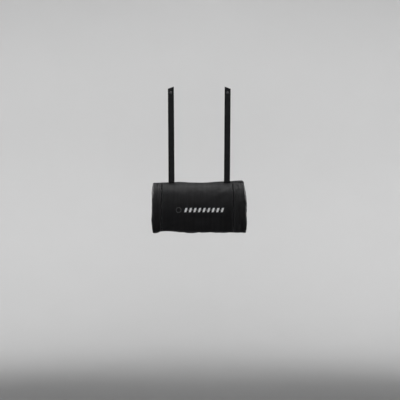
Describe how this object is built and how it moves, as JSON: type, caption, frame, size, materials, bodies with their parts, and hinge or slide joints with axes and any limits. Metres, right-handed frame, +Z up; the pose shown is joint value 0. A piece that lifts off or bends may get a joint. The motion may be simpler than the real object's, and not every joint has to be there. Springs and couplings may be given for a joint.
{
  "type": "lumbar support cushion",
  "caption": "D-section lumbar bolster with a smooth front, textured side strips, a zipped cloth back and two webbing straps ending in press studs.",
  "frame": {"origin": "centre of the cushion's flat rear face, the face that lies against a chair back", "axes": "+X to the right as seen from the front, +Y back towards the chair, +Z up; the curved front faces -Y"},
  "size_m": [0.31, 0.0965, 0.4835],
  "materials": {
    "smooth_leather": "satin",
    "textured_leather": "matte",
    "rear_cloth": "matte",
    "webbing": "matte",
    "black_thread": "satin",
    "white_thread": "satin",
    "dark_thread": "satin",
    "foam": "matte",
    "nonwoven": "matte",
    "zip_tape": "matte",
    "zip_plastic": "satin",
    "black_metal": "satin",
    "spring_steel": "satin"
  },
  "bodies": {
    "cushion": {"foam_core": "foam", "inner_liner": "nonwoven", "front_panel_center": "smooth_leather", "front_panel_left": "textured_leather", "front_panel_right": "textured_leather", "end_panel_left": "textured_leather", "end_panel_right": "textured_leather", "rear_panel_upper": "rear_cloth", "rear_panel_lower": "rear_cloth", "topstitch_left": "black_thread", "topstitch_right": "black_thread", "stitched_motif": "white_thread", "stitched_emblem": "dark_thread", "zip_tape_upper": "zip_tape", "zip_tape_lower": "zip_tape", "zip_teeth_upper": "zip_plastic", "zip_teeth_lower": "zip_plastic", "zip_top_stop": "black_metal", "zip_bottom_stop": "black_metal", "strap_tail_left": "webbing", "strap_tail_right": "webbing", "bartack_left": "black_thread", "bartack_right": "black_thread"},
    "zip_slider": {"zip_slider": "black_metal"},
    "zip_pull": {"zip_pull_tab": "black_metal"},
    "strap_left": {"strap_webbing_left": "webbing", "stud_cap_left": "black_metal", "stud_socket_left": "black_metal", "stud_spring_left": "spring_steel"},
    "strap_right": {"strap_webbing_right": "webbing", "stud_cap_right": "black_metal", "stud_socket_right": "black_metal", "stud_spring_right": "spring_steel"}
  },
  "joints": [
    {"name": "zip_slide", "type": "slide", "parent": "cushion", "child": "zip_slider", "axis": [-1, 0, 0], "range_m": [0, 0.243]},
    {"name": "pull_tab_hinge", "type": "hinge", "parent": "zip_slider", "child": "zip_pull", "pos_m": [0.122, 0.00161, -0.045], "axis": [0, 0, -1], "range_deg": [0, 180]},
    {"name": "strap_left_bend", "type": "hinge", "parent": "cushion", "child": "strap_left", "pos_m": [-0.09151, -0.0399, 0.08063], "axis": [1, 0, 0], "range_deg": [-55, 100]},
    {"name": "strap_right_bend", "type": "hinge", "parent": "cushion", "child": "strap_right", "pos_m": [0.09151, -0.0399, 0.08063], "axis": [1, 0, 0], "range_deg": [-55, 100]}
  ]
}
